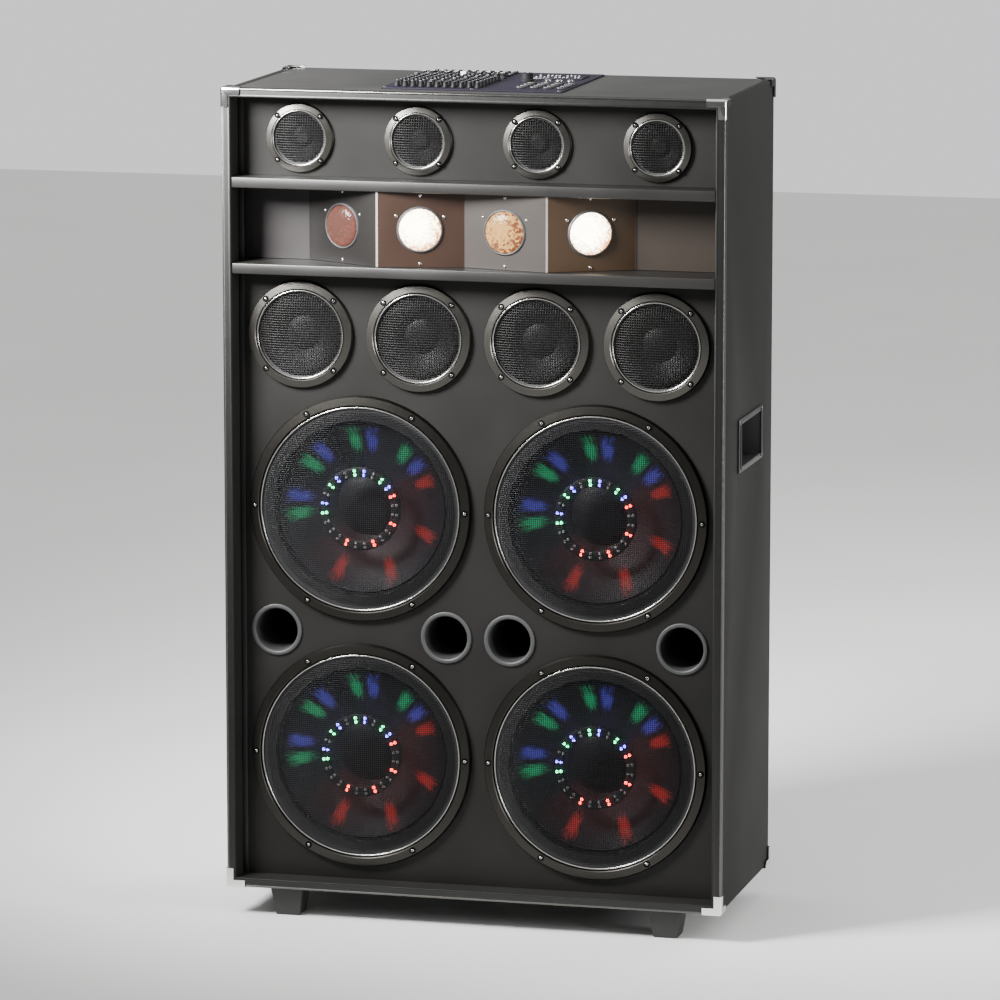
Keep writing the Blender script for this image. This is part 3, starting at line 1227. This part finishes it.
def build_inlet():
    """Mains inlet in the rear board, with its rocker switch and two screws."""
    node, rocker = "mains_inlet", "power_switch"
    mesh = rounded_copy(node, 0.0004, 1, FLAT_ANGLE)
    piece("mains_inlet_moulding", mesh, "plastic", replaced=(node,))
    mesh = rounded_copy(rocker, 0.0006, 2)
    piece("power_rocker", mesh, "port", rocker, replaced=(rocker,))
    low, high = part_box(node)
    inset, y, z = 0.0032, high.y - 0.0002, middle(node).z
    turn = Euler((-math.pi / 2, 0.0, 0.5))
    marks = [((x, y, z), turn) for x in (low.x + inset, high.x - inset)]
    mesh = scattered(screw_mesh(0.0022, 0.0012), marks, "screw")
    piece("inlet_screws", mesh, "screw")


# ---------------------------------------------------------------- stage
def softbox(name, position, target, size, power, spread_angle):
    """Square area light at a position, aimed at a target; its spread is in degrees."""
    light = bpy.data.lights.new(name, "AREA")
    light.shape = "SQUARE"
    light.size = size
    light.energy = power
    light.spread = math.radians(spread_angle)
    obj = linked(name, light)
    obj.location = position
    obj.rotation_euler = (Vector(target) - Vector(position)).to_track_quat("-Z", "Y").to_euler()


def build_world():
    """Soft light that is strongest overhead, in front of an even pale backdrop."""
    world = bpy.data.worlds.new("studio")
    world.use_nodes = True
    tree = world.node_tree
    height = add(tree, "ShaderNodeSeparateXYZ", {0: add(tree, "ShaderNodeTexCoord").outputs["Generated"]})
    rise = maths(tree, "POWER", maths(tree, "MAXIMUM", height.outputs["Z"], 0.0), 1.5)
    sky = maths(tree, "MULTIPLY_ADD", rise, 1.3, 0.08)
    seen = add(tree, "ShaderNodeLightPath").outputs["Is Camera Ray"]
    strength = add(tree, "ShaderNodeMix", {"Factor": seen, "A": sky, "B": 1.0}).outputs["Result"]
    background = tree.nodes["Background"]
    background.inputs["Color"].default_value = (1.0, 1.0, 1.0, 1.0)
    tree.links.new(strength, background.inputs["Strength"])
    bpy.context.scene.world = world


def build_floor(tone):
    half, thickness = 9.0, 0.02
    mesh = block((-half, -half, -thickness), (half, half, 0.0))
    material, tree, shader, coords = blank_material("studio_floor_paint")
    tone_and_gloss(tree, shader, noise(tree, coords, 2.0, 4.0), tone, 0.7, 0.01)
    mesh.materials.append(material)
    floor = linked("studio_floor", mesh)


def build_camera(settings):
    camera = bpy.data.cameras.new("camera")
    camera.lens = settings.lens
    camera.sensor_width = 36.0
    camera.clip_end = 100.0
    obj = linked("camera", camera)
    obj.location = settings.camera
    level = math.cos(settings.elevation)
    facing = Vector((-math.sin(settings.azimuth) * level, math.cos(settings.azimuth) * level,
                     -math.sin(settings.elevation)))
    obj.rotation_euler = facing.to_track_quat("-Z", "Y").to_euler()
    bpy.context.scene.camera = obj


def build_stage():
    settings = bpy.context.scene.party_speaker.stage
    build_floor(settings.floor)
    build_world()
    build_camera(settings)
    softbox("key_softbox", (-1.10, -1.15, 1.85), (-0.34, 0.0, 1.20), 0.7, 58.0, 78)
    softbox("side_softbox", (3.0, -0.9, 1.1), (0.0, 0.0, 0.6), 1.0, 26.0, 110)
    softbox("rim_softbox", (2.8, 3.2, 2.6), (0.0, 0.0, 0.8), 1.6, 30.0, 120)


# ---------------------------------------------------------------- operators
class PARTYSPEAKER_OT_materials(bpy.types.Operator):
    """Make the finishes and the geometry node trees that the pieces share"""

    bl_idname = "party_speaker.materials"
    bl_label = "Finishes"

    def execute(self, context):
        make_materials()
        TREES["scatter"] = scatter_tree()
        TREES["wire_mesh"] = wire_mesh_tree()
        return {"FINISHED"}


class PARTYSPEAKER_OT_cabinet(bpy.types.Operator):
    """Cover the boards and add the battens, edge strip, corner caps, feet, handles and screws"""

    bl_idname = "party_speaker.cabinet"
    bl_label = "Cabinet"

    def execute(self, context):
        build_boards()
        build_battens()
        build_edge_trim()
        build_corner_protectors()
        build_feet()
        build_handles()
        build_board_screws()
        return {"FINISHED"}


class PARTYSPEAKER_OT_woofers(bpy.types.Operator):
    """Build the four woofers with their rings, meshes, cones and LED rings"""

    bl_idname = "party_speaker.woofers"
    bl_label = "Woofers"

    def execute(self, context):
        for place in WOOFERS:
            build_woofer(place)
        return {"FINISHED"}


class PARTYSPEAKER_OT_small_drivers(bpy.types.Operator):
    """Build the four mid speakers and the four tweeters"""

    bl_idname = "party_speaker.small_drivers"
    bl_label = "Mids and tweeters"

    def execute(self, context):
        for number in range(1, 5):
            build_small_driver(f"mid_speaker_{number}", "mid")
            build_small_driver(f"tweeter_{number}", "tweeter")
        return {"FINISHED"}


class PARTYSPEAKER_OT_ports(bpy.types.Operator):
    """Build the four bass port tubes"""

    bl_idname = "party_speaker.ports"
    bl_label = "Ports"

    def execute(self, context):
        for number in range(1, 5):
            build_port(f"port_tube_{number}")
        return {"FINISHED"}


class PARTYSPEAKER_OT_lights(bpy.types.Operator):
    """Build the folded panel and its four effect lights"""

    bl_idname = "party_speaker.lights"
    bl_label = "Effect lights"

    def execute(self, context):
        build_light_panel()
        for number, matrix in light_frames():
            build_effect_light(number, matrix)
        return {"FINISHED"}


class PARTYSPEAKER_OT_controls(bpy.types.Operator):
    """Build the mixer's controls, and the mains inlet with its switch"""

    bl_idname = "party_speaker.controls"
    bl_label = "Mixer and inlet"

    def execute(self, context):
        build_mixer()
        build_player_panel()
        build_display()
        build_mixer_screws()
        build_inlet()
        return {"FINISHED"}


class PARTYSPEAKER_OT_stage(bpy.types.Operator):
    """Set up the floor, the soft studio light and the camera"""

    bl_idname = "party_speaker.stage"
    bl_label = "Studio"

    def execute(self, context):
        build_stage()
        return {"FINISHED"}


class PARTYSPEAKER_PT_panel(bpy.types.Panel):
    """Lists the speaker's pieces"""

    bl_idname = "PARTYSPEAKER_PT_panel"
    bl_label = "Party Speaker"
    bl_space_type = "VIEW_3D"
    bl_region_type = "UI"
    bl_category = "Party Speaker"

    def draw(self, context):
        for operator in OPERATORS:
            self.layout.operator(operator.bl_idname)


OPERATORS = (
    PARTYSPEAKER_OT_materials, PARTYSPEAKER_OT_stage, PARTYSPEAKER_OT_cabinet,
    PARTYSPEAKER_OT_woofers, PARTYSPEAKER_OT_small_drivers, PARTYSPEAKER_OT_ports,
    PARTYSPEAKER_OT_lights, PARTYSPEAKER_OT_controls,
)
SETTINGS = (
    CabinetSettings, WooferSettings, DriverSettings, LightSettings, MixerSettings, StageSettings,
    SpeakerSettings,
)
CLASSES = (*SETTINGS, *OPERATORS, PARTYSPEAKER_PT_panel)


def register():
    for cls in CLASSES:
        bpy.utils.register_class(cls)
    bpy.types.Scene.party_speaker = PointerProperty(type=SpeakerSettings)


def unregister():
    del bpy.types.Scene.party_speaker
    for cls in reversed(CLASSES):
        bpy.utils.unregister_class(cls)


def main():
    register()
    bpy.ops.party_speaker.materials()
    bpy.ops.party_speaker.stage()
    bpy.ops.party_speaker.cabinet()
    bpy.ops.party_speaker.woofers()
    bpy.ops.party_speaker.small_drivers()
    bpy.ops.party_speaker.ports()
    bpy.ops.party_speaker.lights()
    bpy.ops.party_speaker.controls()


if __name__ == "__main__":
    main()
